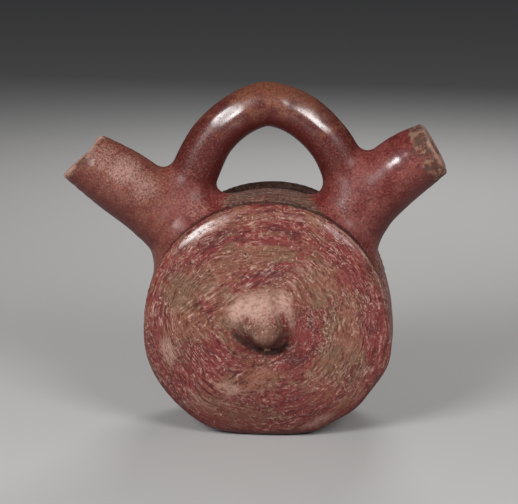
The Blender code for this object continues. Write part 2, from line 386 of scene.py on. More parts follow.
# %% The whole vessel
def upper_gap(points):
    """Distance from the arch and the spouts."""
    spouts = np.minimum(*(spout_gap(points, spout, tilt) for spout, tilt in SPOUTS))
    return joined(tube_gap(points, *middle_line(ARCH)), spouts, ARCH_FILLET)


def outer_gap(points):
    """Distance of each point from the outer skin, with no bores."""
    plain, band, discs, grooved = body_gaps(points)
    upper = upper_gap(points)
    smeared = joined(plain, upper, SPOUT_FILLET)
    luted = joined(joined(band, upper, SPOUT_FILLET), discs, GROOVE_FILLET)
    gap = smeared + grooved * (luted - smeared)
    for side in (-1, 1):
        gap = joined(gap, knob_gap(points, side), KNOB_FILLET)
    return kept(gap, -points[:, 2], FOOT_ROUND)


def vessel_gap(points):
    return kept(outer_gap(points), -bores_gap(points), LIP_ROUND)


# %% [markdown]
# ## Roughing out
#
# The rough shapes are made with bmesh operators: the body is spun from its outline, and the knobs, arch and
# spouts are a disc extruded from station to station. They only need to be close, because a voxel remesh
# joins them and every point is then moved on to the true form.

# %% Spinning and sweeping
SPIN_STEPS = 96
SWEEP_SIDES = 24
MERGE = 0.00001


def finished_mesh(work, name):
    """A mesh out of a bmesh, with its doubles merged and its faces pointing out."""
    bmesh.ops.remove_doubles(work, verts=work.verts, dist=MERGE)
    bmesh.ops.recalc_face_normals(work, faces=work.faces)
    mesh = bpy.data.meshes.new(name)
    work.to_mesh(mesh)
    work.free()
    return mesh


def turned(name, outline):
    """A solid spun round the body's level axis, from the outline of one half of it."""
    profile = np.vstack([outline[::-1] * (1, -1), outline[1:]])
    work = bmesh.new()
    verts = [work.verts.new((radius, depth, AXIS_HEIGHT)) for radius, depth in profile]
    edges = [work.edges.new(pair) for pair in zip(verts, verts[1:])]
    bmesh.ops.spin(
        work,
        geom=verts + edges,
        cent=(0, 0, AXIS_HEIGHT),
        axis=(0, 1, 0),
        angle=2 * math.pi,
        steps=SPIN_STEPS,
        use_merge=True,
    )
    return finished_mesh(work, name)


def swept(name, line, radii):
    """A solid that follows a line, by extruding a disc from each of its points to the next."""
    runs = np.gradient(line, axis=0)
    stations = []
    for place, run, radius in zip(line, runs, radii):
        turn = Vector(run).to_track_quat("Z", "Y").to_matrix().to_4x4()
        stations.append(Matrix.Translation(place) @ turn @ Matrix.Diagonal((radius, radius, radius, 1)))
    work = bmesh.new()
    bmesh.ops.create_circle(work, cap_ends=True, radius=1, segments=SWEEP_SIDES, matrix=stations[0])
    end = work.faces[:]
    for here, there in zip(stations, stations[1:]):
        grown = bmesh.ops.extrude_face_region(work, geom=end)["geom"]
        bmesh.ops.delete(work, geom=end, context="FACES_ONLY")
        end = [part for part in grown if isinstance(part, bmesh.types.BMFace)]
        moved = [part for part in grown if isinstance(part, bmesh.types.BMVert)]
        bmesh.ops.transform(work, matrix=there @ here.inverted(), verts=moved)
    bmesh.ops.holes_fill(work, edges=work.edges[:])
    return finished_mesh(work, name)


# %% The rough shapes in one mesh
def put_together(name, meshes):
    """One object that holds several meshes."""
    work = bmesh.new()
    for mesh in meshes:
        work.from_mesh(mesh)
        bpy.data.meshes.remove(mesh)
    mesh = bpy.data.meshes.new(name)
    work.to_mesh(mesh)
    work.free()
    return new_object(name, mesh)


shapes = [turned("body", body_outline())]
for side in (-1, 1):
    root, tip = knob_line(side)
    nose = tip + (tip - root) * KNOB_TIP_RADIUS / np.linalg.norm(tip - root)
    radii = (KNOB_ROOT_RADIUS, KNOB_TIP_RADIUS, KNOB_TIP_RADIUS / 2)
    shapes.append(swept("knob", np.array([root, tip, nose]), radii))
for places in (ARCH, LEFT_SPOUT, RIGHT_SPOUT):
    shapes.append(swept("tube", *middle_line(places)))
pot = put_together("pot", shapes)
print("rough faces:", len(pot.data.polygons))

# %% [markdown]
# ## From rough to true
#
# Three steps are repeated. A voxel remesh gives one skin of even faces. Each point then moves along the
# slope of the distance until it lies on the true form. A little smoothing spreads the points evenly, and a
# last move puts them back on the form. The first round is coarse and closed; the bores are then cut, and
# the second round is fine enough for the groove and the lips.

# %% Remeshing and moving the points
SLOPE_STEP = 0.0001
LEAST_SLOPE = 0.5


def with_modifier(obj, kind, **settings):
    """Gives the object a modifier and applies it."""
    modifier = obj.modifiers.new(kind, kind)
    for key, value in settings.items():
        setattr(modifier, key, value)
    graph = bpy.context.evaluated_depsgraph_get()
    old = obj.data
    obj.data = bpy.data.meshes.new_from_object(obj.evaluated_get(graph))
    obj.modifiers.clear()
    bpy.data.meshes.remove(old)


def points_of(parts, what="co"):
    """The places of a mesh's vertices, or another place that each of its parts has."""
    points = np.empty(len(parts) * 3)
    parts.foreach_get(what, points)
    return points.reshape(-1, 3)


def slope_of(gap_of, points, gap):
    steps = np.eye(3) * SLOPE_STEP
    return np.stack([(gap_of(points + step) - gap) / SLOPE_STEP for step in steps], axis=1)


def settle(mesh, gap_of, rounds=2):
    """Moves the mesh's points on to the skin, along the slope of the distance."""
    points = points_of(mesh.vertices)
    for _ in range(rounds):
        gap = gap_of(points)
        slope = slope_of(gap_of, points, gap)
        steep = np.maximum((slope**2).sum(axis=1), LEAST_SLOPE**2)
        points = points - slope * (gap / steep)[:, None]
    mesh.vertices.foreach_set("co", points.ravel())


def even_out(mesh, rounds=3):
    work = bmesh.new()
    work.from_mesh(mesh)
    for _ in range(rounds):
        bmesh.ops.smooth_vert(
            work, verts=work.verts, factor=0.5, use_axis_x=True, use_axis_y=True, use_axis_z=True
        )
    work.to_mesh(mesh)
    work.free()


def reskin(obj, voxel, gap_of):
    with_modifier(obj, "REMESH", mode="VOXEL", voxel_size=voxel)
    settle(obj.data, gap_of)
    even_out(obj.data)
    settle(obj.data, gap_of)


COARSE_VOXEL = 0.0013
reskin(pot, COARSE_VOXEL, outer_gap)
print("coarse skin:", len(pot.data.polygons), "faces")


# %% Boring the mouths, then the fine skin
def cut_with(obj, *meshes):
    """Takes each mesh's shape out of the object."""
    for mesh in meshes:
        cutter = put_together("cutter", [mesh])
        with_modifier(obj, "BOOLEAN", operation="DIFFERENCE", solver="EXACT", object=cutter)
        bpy.data.objects.remove(cutter)


FINE_VOXEL = 0.001
cut_with(pot, *(swept("bore", *inward(*middle_line(spout), BORE_REACH)) for spout, _ in SPOUTS))
reskin(pot, FINE_VOXEL, vessel_gap)
print("fine skin:", len(pot.data.polygons), "faces")

# %% [markdown]
# ## The hand of the maker
#
# No surface on the pot is exact. A slow, shallow swelling from noise makes the highlights wander as they do
# on the real one. The particular marks are lines pressed into or left standing on the front: the crease and
# the fold under the knob, a crack at the lower left, a few long strokes, and a ridge of clay over the foot.

# %% Marks on the front: places in millimetres from the disc's middle, how wide they are and how deep
MARKS = (
    (((-14.0, -4.5), (-10.0, -8.0), (-5.0, -10.6), (0.5, -12.4), (4.0, -12.4)), 2.4, 1.0),
    (((-1.0, -11.8), (2.5, -12.9), (6.5, -12.0), (9.5, -9.0)), 1.5, 1.5),
    (((-16.5, -9.5), (-11.0, -13.2), (-4.0, -16.0), (3.0, -17.2)), 2.2, -0.6),
    (((-47.0, 3.0), (-46.3, -4.0), (-46.6, -10.0)), 0.7, 0.5),
    (((-38.0, 17.0), (-24.0, 23.5), (-8.0, 28.0), (4.0, 29.0)), 0.9, 0.25),
    (((-34.0, -2.0), (-22.0, 9.0), (-12.0, 15.5)), 0.9, 0.25),
    (((-30.0, -38.0), (-16.0, -44.5), (0.0, -47.0), (14.0, -45.5)), 1.0, 0.3),
    (((-4.0, -52.2), (6.0, -51.4), (14.0, -48.0)), 1.2, -0.45),
    (((8.0, 38.0), (24.0, 33.0), (36.0, 21.0)), 0.9, 0.25),
)

# %% Other marks, in metres
# Places pressed or left standing: (x, y, z), how far they reach and how deep they are.
SPOTS = (
    ((0.0845, 0.0, 0.1190), 0.0055, 0.0020),
    ((-0.0885, -0.0115, 0.1290), 0.0060, 0.0013),
    ((-0.0885, 0.0115, 0.1290), 0.0060, 0.0011),
    ((-0.0800, 0.0, 0.1340), 0.0020, -0.0007),
    ((0.0535, -0.0020, 0.1375), 0.0014, 0.0005),
    ((-0.0720, -0.0080, 0.1250), 0.0070, 0.0003),
)
# Flats that the pebble left along the arch: from, to, how far each reaches and how deep it is.
FLATS = (
    ((-0.0225, -0.0092, 0.1440), (-0.0145, -0.0092, 0.1520), 0.0042, 0.0007),
    ((0.0110, -0.0092, 0.1545), (0.0260, -0.0092, 0.1460), 0.0042, 0.0006),
)

# %% Working the marks and the swellings into the skin
UNEVENNESS = ((0.024, 0.00035), (0.009, 0.00009))
DISC_FROM, DISC_TO = 0.019, 0.027
FLAT_FOOT, FREE_OF_FOOT = 0.0002, 0.004


def line_distance(across, height, line):
    """Distance to a line of places on the front, seen from the front."""
    flat = np.stack([across, np.zeros(len(across)), height], axis=1)
    line = np.array([(x, 0.0, z) for x, z in line]) / 1000
    return tube_gap(flat, line, np.zeros(len(line)))


def marks_at(points):
    """How far the marks press each point in."""
    across, height = seen_from_front(points)
    sunk = np.zeros(len(points))
    for line, wide, deep in MARKS:
        away = line_distance(across, height, line) / (wide / 1000)
        sunk += deep / 1000 * np.exp(-(away**2))
    sunk *= ramp(-points[:, 1], DISC_FROM, DISC_TO)
    for place, reach, deep in SPOTS:
        away = ((points - np.array(place)) ** 2).sum(axis=1) / reach**2
        sunk += deep * np.exp(-away)
    for start, end, reach, deep in FLATS:
        away = tube_gap(points, np.array((start, end)), (0.0, 0.0)) / reach
        sunk += deep * np.exp(-(away**2))
    return sunk


def noise_at(points, size):
    """Smooth noise from about -1 to 1, in lumps of this size."""
    return np.array([noise.noise(Vector(point) / size) for point in points])


def unevenness(points):
    """How far the swellings lift each point, from noise of two sizes."""
    return sum(height * noise_at(points, size) for size, height in UNEVENNESS)


def work_over(mesh):
    """Moves the points along their normals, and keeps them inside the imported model's box."""
    points = points_of(mesh.vertices)
    slope = slope_of(vessel_gap, points, vessel_gap(points))
    normals = slope / np.linalg.norm(slope, axis=1)[:, None]
    above_foot = ramp(points[:, 2], FLAT_FOOT, FREE_OF_FOOT)
    points = points + normals * ((unevenness(points) - marks_at(points)) * above_foot)[:, None]
    mesh.vertices.foreach_set("co", np.clip(points, cad_low, cad_high).ravel())
    mesh.update()


work_over(pot.data)

# %% [markdown]
# ## The inside
#
# Both bores run down into the hollow of the body. Only their first centimetres show, so the rest is cut
# from larger faces.

# %% The hollow and the deep bores
def floored_hollow():
    """The hollow, cut off level above the foot."""
    mesh = turned("hollow", hollow_outline())
    work = bmesh.new()
    work.from_mesh(mesh)
    bpy.data.meshes.remove(mesh)
    cut = bmesh.ops.bisect_plane(
        work,
        geom=work.verts[:] + work.edges[:] + work.faces[:],
        plane_co=(0, 0, FLOOR),
        plane_no=(0, 0, -1),
        clear_outer=True,
    )["geom_cut"]
    rim = [part for part in cut if isinstance(part, bmesh.types.BMEdge)]
    bmesh.ops.edgeloop_fill(work, edges=rim)
    return finished_mesh(work, "hollow")


DEEP_SLACK = 0.0004


def deep_bore(spout):
    """The bore from the hollow up to its open stretch, into which it runs a little."""
    line, radii = middle_line(spout)
    away = np.linalg.norm(line - line[-1], axis=1)
    deep = away > BORE_REACH / 2
    return swept("deep bore", line[deep], radii[deep] - SPOUT_WALL - DEEP_SLACK)


cut_with(pot, floored_hollow(), *(deep_bore(spout) for spout, _ in SPOUTS))
print("whole skin:", len(pot.data.polygons), "faces")

# %% [markdown]
# ## Guides for the colour
#
# The colour follows the making and the wear, and in places the light, so each point gets a few numbers that
# the
# material reads: where the slip is worn through, how far the surface is brushed in circles, what belongs to
# the arch and to the lips, where shade, highlights and sheen are painted, and a coordinate that runs with the
# strokes of the pebble. It goes once round the body and, much more tightly, across the strokes, from the
# middle of the front over the band to the middle of the back.

# %% Patches on the front disc
# Across and up from its middle, long and wide, all in millimetres, then tilt in degrees and strength.
WORN_PATCHES = (
    (-32.6, 19.0, 13, 7, 25, 1.0),
    (-38.6, 5.0, 8, 8, 0, 0.9),
    (-12.2, 31.4, 14, 5.5, 15, 1.1),
    (2.9, 33.7, 9, 4.5, 0, 1.0),
    (25.6, 26.0, 7, 5, 0, 1.0),
    (24.1, 17.0, 9, 7, 0, 0.9),
    (34.6, 3.5, 6, 14, -5, 0.6),
    (31.6, -9.0, 7, 11, -10, 1.0),
    (25.6, -20.0, 9, 8, 30, 0.9),
    (40.5, -3.5, 3.5, 15, 0, 0.9),
    (-12.2, 8.1, 8, 8, 0, 0.9),
    (-18.2, 1.9, 4.5, 9, 0, 0.8),
    (0.5, -2.5, 6.5, 6, 0, 1.6),
    (3.0, 14.5, 12, 4.5, 0, 0.8),
    (-1.6, -25.2, 8, 7, 0, 1.1),
    (-13.0, -29.1, 9, 5, 10, 1.0),
    (-10.7, -43.8, 12, 5, -8, 0.9),
    (-25.8, -37.0, 7, 4.5, -30, 0.9),
    (-43.9, -10.5, 4.5, 8, 10, 0.9),
    (32.4, -38.4, 12, 3, 27, 1.1),
    (22.5, 49.2, 4.5, 4, -30, 1.3),
    (-34.8, -2.7, 10, 5, 0, 0.6),
    (-6.0, 50.0, 10, 3, 5, 0.7),
)
SLIP_PATCHES = (
    (0.5, 23.6, 12, 3.2, 25, 1.3),
    (-5.4, 39.9, 20, 2.2, 0, 1.0),
    (-28.0, 33.5, 9, 3.5, 35, 0.9),
    (18.8, -5.8, 6, 9, -5, 1.3),
    (14.0, -15.9, 9, 7, 30, 1.2),
    (-25.8, -15.1, 10, 8, 0, 1.1),
    (22.5, -40.7, 17, 4.5, 15, 0.9),
    (10.0, -34.0, 10, 4, 10, 0.8),
    (50.0, -3.5, 4.5, 17, 0, 1.2),
    (33.9, 35.5, 9, 7, -40, 1.1),
    (40.0, 25.2, 5, 9, 25, 1.0),
    (-37.9, -29.1, 8, 8, -40, 0.9),
    (8.0, 47.5, 13, 4.5, -5, 0.7),
    (-49.0, -2.0, 3.5, 17, 0, 0.6),
)
# Pale patches on the front disc; the ones round the knob's upper slope are a painted sheen.
PALE_AND_SHEEN_PATCHES = (
    (-6.0, 11.5, 12, 5.5, 25, 0.75),
    (0.0, 7.0, 9, 5, 0, 0.75),
    (-14.0, 5.0, 4.5, 7, -20, 0.6),
    (9.5, 12.0, 4, 6, 20, 0.8),
    (12.0, 2.0, 2.5, 6, 10, 0.6),
    (-45.0, -13.0, 4, 8, 12, 0.8),
    (-17.0, -31.0, 9, 5, -15, 0.6),
    (-32.0, -37.0, 9, 4, -35, 0.5),
    (18.0, 26.5, 9, 3.5, -10, 0.5),
    (38.0, -2.0, 2.5, 16, 0, 0.3),
    (24.0, -46.0, 10, 2.5, 22, 0.9),
    (-22.0, 46.0, 9, 2.5, 25, 0.7),
    (14.0, 49.5, 12, 2, -12, 0.6),
)
# Where the strokes run aslant, up to the right, instead of round.
SLANT_PATCHES = (
    (-24.0, 12.0, 21, 10, 35, 1.0),
    (1.0, 24.0, 13, 4.5, 25, 1.0),
    (-8.0, -24.0, 15, 6.5, 25, 0.9),
    (22.0, -34.0, 9, 4, 35, 0.6),
    (20.0, 36.0, 7, 3.5, 30, 0.5),
)


def patches_at(points, patches):
    """The summed strength of soft, turned, oval patches at each point."""
    across, height = seen_from_front(points)
    total = np.zeros(len(points))
    for x, z, long, wide, tilt, strength in patches:
        turn = math.radians(tilt)
        dx, dz = across * 1000 - x, height * 1000 - z
        u = (dx * math.cos(turn) + dz * math.sin(turn)) / long
        v = (dz * math.cos(turn) - dx * math.sin(turn)) / wide
        total += strength * np.exp(-((u * u + v * v) ** 1.5))
    return total


print("patches:", len(WORN_PATCHES), "worn,", len(SLIP_PATCHES), "with slip")

# %% The strokes of the pebble
STROKE_ROUND = 0.030
STROKE_SQUEEZE = 4.5
LEAN_MOST = 0.5
LEAN_TURN = 2.3
LEAN_TIGHT = 2.2
LEAN_FROM, LEAN_TO = 0.030, 0.052


def put_numbers(mesh, name, values):
    kind, slot = ("FLOAT", "value") if values.ndim == 1 else ("FLOAT_VECTOR", "vector")
    layer = mesh.attributes.new(name, kind, "POINT")
    layer.data.foreach_set(slot, values.astype(np.float32).ravel())


def stroke_places(points):
    """A place for each point in a space where the strokes of the pebble are as wide as they are long."""
    across, height = seen_from_front(points)
    aslant = np.exp(LEAN_TIGHT * (np.cos(np.arctan2(height, across) - LEAN_TURN) - 1))
    lean = LEAN_MOST * aslant * (1 - ramp(np.hypot(across, height), LEAN_FROM, LEAN_TO))
    radius = np.maximum(np.hypot(across * (1 - lean), height), 0.001)
    side = -np.clip(points[:, 1] / RIM_DEPTH, -1, 1)
    over = points[:, 1] + (radius - BAND_RADIUS) * side
    round_body = np.stack([across, height], axis=1) / radius[:, None] * STROKE_ROUND
    return np.column_stack([round_body, over * STROKE_SQUEEZE])


def tube_shares(points):
    """How far each point belongs to the tubes rather than the body, and to the arch rather than a spout."""
    arch = tube_gap(points, *middle_line(ARCH))
    spouts = np.minimum(*(tube_gap(points, *middle_line(spout)) for spout, _ in SPOUTS))
    tubes = ramp(body_gap(points) - np.minimum(arch, spouts), -0.006, 0.001)
    return tubes, tubes * ramp(spouts - arch, 0.001, 0.012)


# %% Where the slip is polished, and where a sheen is painted on it: (x, y, z) and reach in metres, and how much
# The highest polish on the arch and the spouts, and on the front disc.
TUBES_POLISHED = (
    ((-0.0190, -0.0092, 0.1476), 0.0072, 1.0),
    ((0.0140, -0.0092, 0.1530), 0.0080, 0.9),
    ((0.0225, -0.0092, 0.1480), 0.0080, 1.0),
    ((0.0597, -0.0125, 0.1290), 0.0055, 0.9),
    ((-0.0420, -0.0230, 0.0980), 0.0060, 0.12),
    ((-0.0660, -0.0130, 0.1200), 0.0170, 0.25),
)
DISC_POLISHED = (
    ((-0.0347, -0.0300, 0.0967), 0.0120, 0.62),
    ((0.0450, -0.0275, 0.0930), 0.0160, 0.30),
    ((0.0530, -0.0275, 0.0700), 0.0120, 0.35),
)
# A painted sheen: the slip made paler where the lamps' sheen lies on the spouts and the joints.
PAINTED_SHEEN = (
    ((-0.0950, -0.0060, 0.1225), 0.0060, 1.00),
    ((-0.0750, -0.0110, 0.1290), 0.0085, 0.60),
    ((-0.0660, -0.0125, 0.1230), 0.0095, 0.85),
    ((-0.0570, -0.0140, 0.1160), 0.0090, 0.60),
    ((-0.0320, -0.0170, 0.1060), 0.0080, 0.50),
    ((0.0350, -0.0190, 0.1090), 0.0080, 0.50),
    ((0.0460, -0.0200, 0.1000), 0.0060, 0.50),
)


def near(points, places):
    """How strongly each point belongs to the nearest of some round places."""
    strongest = np.zeros(len(points))
    for place, reach, strength in places:
        away = ((points - np.array(place)) ** 2).sum(axis=1) / reach**2
        strongest = np.maximum(strongest, strength * np.exp(-(away**2)))
    return strongest


# %% Painted shade and dirt, flecks and bare lips
THUMB = 0.005
MOUTH_REACH = 0.04
LIPS_WORN = (0.0017, 0.0060)
LIPS_FADE = (0.0012, 0.0034)


def shade_and_dirt_at(points, front):
    """How much painted shade and dirt there is: in the grooves, where a thumb doesn't reach, in the marks, in
    the slot behind the rim and at the back.
    """
    radius, depth, _, _ = body_places(points)
    _, band, discs, grooved = body_gaps(points)
    upper = upper_gap(points)
    wide = joined(joined(band, upper, SPOUT_FILLET), discs, THUMB)
    groove = ramp(-wide, 0.0002, 0.0016) * grooved
    # Painted shade at the back, behind the crest, where the arch and the spouts keep the lamps off.
    back = ramp(points[:, 1], 0.010, 0.018) * ramp(upper, 0.004, 0.010) * grooved
    back *= ramp(points[:, 2], 0.095, 0.105) * (1 - ramp(points[:, 1], 0.030, 0.034))
    # Painted shade and dirt in the marks on the front: the crease and fold under the knob, the crack and the
    # strokes.
    marks = ramp(marks_at(points), 0.0003, 0.0012)
    # The slot behind the rim, which the disc hides from the lamps.
    behind = RIM_DEPTH - depth
    shelter = radius - RIM_RADIUS + 0.16 * behind
    line = (1 - ramp(shelter, 0.0003, 0.0016)) * ramp(behind, 0.0004, 0.0016)
    line *= 0.9 * grooved * (1 - ramp(behind, 0.009, 0.014))
    return np.max([groove, 0.75 * back, marks * front, line], axis=0)


def flecked_at(points, tubes, arch):
    """How thickly the tubes are flecked: most on the left spout, and on the right one's underside."""
    out = ramp(np.hypot(*seen_from_front(points)), 0.062, 0.084) * (1 - arch)
    across, _, up = (points - middle_line(RIGHT_SPOUT)[0][0]).T
    under = ramp(across * 0.72 - up * 0.69, -0.004, 0.012)
    return tubes * out * np.where(points[:, 0] < 0, 1.0, 0.15 + 0.85 * under)


def lip_at(points):
    """How bare the clay is round the mouths, and how pale the lips' edges, as bare clay with a painted
    highlight along them. The right one is worn further.
    """
    bare, edge = np.zeros(len(points)), np.zeros(len(points))
    for (spout, tilt), worn, fade in zip(SPOUTS, LIPS_WORN, LIPS_FADE):
        ragged = 1.5 * fade * noise_at(points, 0.005)
        close = np.linalg.norm(points - middle_line(spout)[0][-1], axis=1) < MOUTH_REACH
        gap = mouth_gap(points, spout, tilt)
        bare += close * ramp(gap + ragged, -worn - fade, 0.0004 - worn)
        edge += close * ramp(gap + 0.3 * ragged, -0.0016, -0.0005)
    return bare, edge


# %% Numbers on each point for the material to read
def rim_line(radius, inside, wide):
    """A soft line round each disc, this far inside its rim and this wide."""
    return np.exp(-(((radius - RIM_RADIUS + inside) / wide) ** 2))


def guides_at(points):
    """The numbers that the burnished slip follows, by name."""
    across, height = seen_from_front(points)
    radius = np.hypot(across, height)
    tubes, arch = tube_shares(points)
    body = 1 - tubes
    front = ramp(-points[:, 1], DISC_FROM, DISC_TO)
    faces = ramp(np.abs(points[:, 1]), DISC_FROM, DISC_TO)
    knob = np.minimum(*(knob_gap(points, side) for side in (-1, 1)))
    crest = (1 - front) * ramp(height, 0.047, 0.054) * body
    patches = patches_at(points, WORN_PATCHES) - patches_at(points, SLIP_PATCHES)
    patchy = 1.6 * noise_at(points, 0.022) * (1 - front)
    # A painted highlight: a thin pale line along the upper right of the front rim, where its edge catches the
    # right lamp.
    edge = rim_line(radius, 0.0007, 0.0008)
    edge *= 0.7 * ramp(across, 0.015, 0.035) * ramp(height, -0.005, 0.015)
    pale = np.maximum(np.clip(patches_at(points, PALE_AND_SHEEN_PATCHES), 0, 1), edge) * front * body
    lip, lip_edge = lip_at(points)
    downward = -slope_of(outer_gap, points, outer_gap(points))[:, 2]
    return {
        "worn": (patches * front + patchy) * body + 0.8 * crest,
        "brushed": body * ramp(knob, 0.000, 0.006) * (0.5 + 0.5 * faces),
        "arch": arch,
        "tubes": tubes,
        "crest": crest,
        "flecked": flecked_at(points, tubes, arch),
        "left": ramp(-points[:, 0], 0.035, 0.055) * tubes * (1 - arch),
        "rim": rim_line(radius, 0.0008, 0.0016) * ramp(height, -0.02, 0.01) * body,
        # Pale patches, and painted highlights and sheen: round the knob, on the right rim's edge, on the
        # spouts and joints, and on the lips' edges.
        "pale": np.max([pale, near(points, PAINTED_SHEEN) * tubes, lip_edge], axis=0),
        "polish": np.maximum(near(points, DISC_POLISHED) * body, near(points, TUBES_POLISHED) * tubes),
        "slant": patches_at(points, SLANT_PATCHES) * front * body,
        "knob": 1 - ramp(knob, 0.002, 0.009),
        "lip": lip,
        # Painted shade and dirt: grooves, marks, the slot behind the rim and the back behind the crest.
        "shade_and_dirt": shade_and_dirt_at(points, front),
        # Painted shade: darker where the surface faces down and towards the bottom of the body.
        "shade": np.maximum(ramp(downward, -0.15, 0.75), 0.75 * ramp(-height, 0.015, 0.056)),
    }


points = points_of(pot.data.vertices)
put_numbers(pot.data, "stroke", stroke_places(points))
numbers = guides_at(points)
for name, values in numbers.items():
    put_numbers(pot.data, name, values)
GUIDES = tuple(numbers)
print("guides:", *GUIDES)

# %% [markdown]
# ## Fired clay, in two finishes
#
# The clay itself is tan with a green cast, and shows inside, on the lips and wherever the slip is gone. The
# slip is iron red, and where the pebble pressed hard it is glossy. Both finishes share two effects, kept as
# node groups: grain, which is the fine sand in the clay, and flecks, which are spots with a chosen cover.

# %% Short words for nodes
def wire(node, inputs):
    """Sets or links a node's inputs."""
    for key, value in inputs.items():
        if isinstance(value, bpy.types.NodeSocket):
            node.id_data.links.new(value, node.inputs[key])
        else:
            node.inputs[key].default_value = value


def add(kind, inputs, output=0, tree=None, **settings):
    """Adds a node to the tree that its inputs come from, and gives back one of its outputs."""
    if tree is None:
        tree = next(value.id_data for value in inputs.values() if isinstance(value, bpy.types.NodeSocket))
    node = tree.nodes.new("ShaderNode" + kind)
    for name, value in settings.items():
        setattr(node, name, value)
    wire(node, inputs)
    return node.outputs[output]


def sums(operation, one, other):
    return add("Math", {0: one, 1: other}, operation=operation)


def product(*values):
    total = values[0]
    for value in values[1:]:
        total = sums("MULTIPLY", total, value)
    return total


def raised(value, *parts):
    """A value with others added to it, each times its own strength."""
    for part, strength in parts:
        value = sums("ADD", value, product(part, strength))
    return value


def covered(colour, cover, *shares):
    """A colour with another laid over it, as far as the product of some shares says."""
    return tinted(product(*shares), colour, cover)


def from_to(value, low, high, start=0.0, end=1.0):
    """A value's smooth way from start, where it is low, to end, where it is high."""
    inputs = {"Value": value, "From Min": low, "From Max": high, "To Min": start, "To Max": end}
    return add("MapRange", inputs, interpolation_type="SMOOTHSTEP")


def between(share, one, other):
    """A mix of two numbers."""
    return add("Mix", {0: share, 2: one, 3: other}, data_type="FLOAT")


def tinted(share, one, other):
    """A mix of two colours."""
    return add("Mix", {0: share, 6: one, 7: other}, 2, data_type="RGBA")


def mottling(place, scale, detail=3.0, rough=0.55):
    inputs = {"Vector": place, "Scale": scale, "Detail": detail, "Roughness": rough}
    return add("TexNoise", inputs, "Fac")


def guide(tree, name, output="Fac"):
    return add("Attribute", {}, output, tree, attribute_name=name)


# %% The two shared effects
def new_group(name, inputs, outputs):
    """An empty node group of numbers, besides a place, with what it is given and its output node."""
    tree = bpy.data.node_groups.new(name, "ShaderNodeTree")
    tree.interface.new_socket("Place", in_out="INPUT", socket_type="NodeSocketVector")
    for way, sockets in (("INPUT", inputs), ("OUTPUT", outputs)):
        for socket in sockets:
            tree.interface.new_socket(socket, in_out=way, socket_type="NodeSocketFloat")
    return tree, tree.nodes.new("NodeGroupInput").outputs, tree.nodes.new("NodeGroupOutput")


def made_flecks():
    """Spots of one size that cover more of the surface as Cover rises from 0 to 1."""
    tree, given, out = new_group("flecks", ("Scale", "Cover", "Edge"), ("Mask",))
    spots = mottling(given["Place"], given["Scale"], 3, 0.6)
    level = from_to(given["Cover"], 0, 1, 0.78, 0.22)
    low, high = (sums(way, level, given["Edge"]) for way in ("SUBTRACT", "ADD"))
    wire(out, {"Mask": from_to(spots, low, high)})
    return tree


def made_grain():
    """Fine sand: a value round 0.5 for the colour, and pits."""
    tree, given, out = new_group("grain", ("Scale",), ("Sand", "Pits"))
    pits = mottling(given["Place"], product(given["Scale"], 0.55), 2)
    wire(out, {"Sand": mottling(given["Place"], given["Scale"], 4, 0.7), "Pits": from_to(pits, 0.36, 0.28)})
    return tree


FLECKS, GRAIN = made_flecks(), made_grain()


def flecks(place, scale, cover, edge=0.03):
    inputs = {"Place": place, "Scale": scale, "Cover": cover, "Edge": edge}
    return add("Group", inputs, node_tree=FLECKS)


def grained(place, scale):
    """Places the grain and gives back its sand and its pits."""
    sand = add("Group", {"Place": place, "Scale": scale}, node_tree=GRAIN)
    return sand, sand.node.outputs["Pits"]


# %% Colours, as the light's own amounts of red, green and blue
SLIP_DARK = (0.076, 0.008, 0.008, 1)
SLIP_DEEP = (0.122, 0.014, 0.013, 1)
SLIP_RED = (0.234, 0.031, 0.027, 1)
SLIP_SATIN = (0.136, 0.013, 0.012, 1)
SLIP_WARM = (0.250, 0.062, 0.052, 1)
SLIP_OCHRE = (0.225, 0.068, 0.042, 1)
ARCH_BROWN = (0.105, 0.014, 0.011, 1)
ARCH_OCHRE = (0.205, 0.066, 0.036, 1)
CLAY_TAN = (0.270, 0.100, 0.060, 1)
CLAY_GREEN = (0.215, 0.112, 0.062, 1)
CREST_GREY = (0.160, 0.105, 0.080, 1)
KNOB_CLAY = (0.215, 0.112, 0.076, 1)
CREAM = (0.680, 0.420, 0.340, 1)
# Nearly black: for dark specks and pits, and for painted shade.
SOOT_AND_SHADE = (0.022, 0.008, 0.007, 1)
LIP_CLAY = (0.275, 0.180, 0.122, 1)
LIP_DINGY = (0.080, 0.036, 0.029, 1)

# %% [markdown]
# The burnished finish is built in the order of the pot's life: clay, then slip, then wear along the strokes,
# then flecks of lime and dark pits. Painted highlights and sheen come in with the pale flecks, and painted
# shade and dirt are laid on near the end. The strokes give their relief too, so that the gloss breaks up in
# the same lines as the colour.

# %% The strokes and the slant of the scratches
WANDER_SCALE, WANDER_REACH = 42, 0.058
SLANT_ANGLE = math.radians(-35)


def stroke_place(tree, place):
    """The coordinate along the strokes, made to wander a little, as a hand does."""
    wander = add("TexNoise", {"Vector": place, "Scale": WANDER_SCALE, "Detail": 5}, "Color")
    wander = add("VectorMath", {0: wander, 1: (0.5, 0.5, 0.5)}, operation="SUBTRACT")
    wander = add("VectorMath", {0: wander, "Scale": WANDER_REACH}, operation="SCALE")
    return add("VectorMath", {0: guide(tree, "stroke", "Vector"), 1: wander}, operation="ADD")


def scratches(place, stroke, masks):
    """Fine lines along the strokes, long and short in turn, and straight and aslant in their own patches."""
    broad = from_to(mottling(place, 60, 2), 0.43, 0.57)
    along = between(broad, mottling(stroke, 330, 4.5, 0.72), mottling(stroke, 170, 5.5, 0.74))
    turned_place = {"Vector": place, "Rotation": (0, SLANT_ANGLE, 0), "Scale": (4, 1, 1)}
    aslant = mottling(add("Mapping", turned_place, vector_type="TEXTURE"), 800, 4.5, 0.72)
    ragged = sums("SUBTRACT", mottling(place, 150), 0.5)
    return between(from_to(raised(masks["slant"], (ragged, 2)), 0.35, 0.75, 0, 0.8), along, aslant)


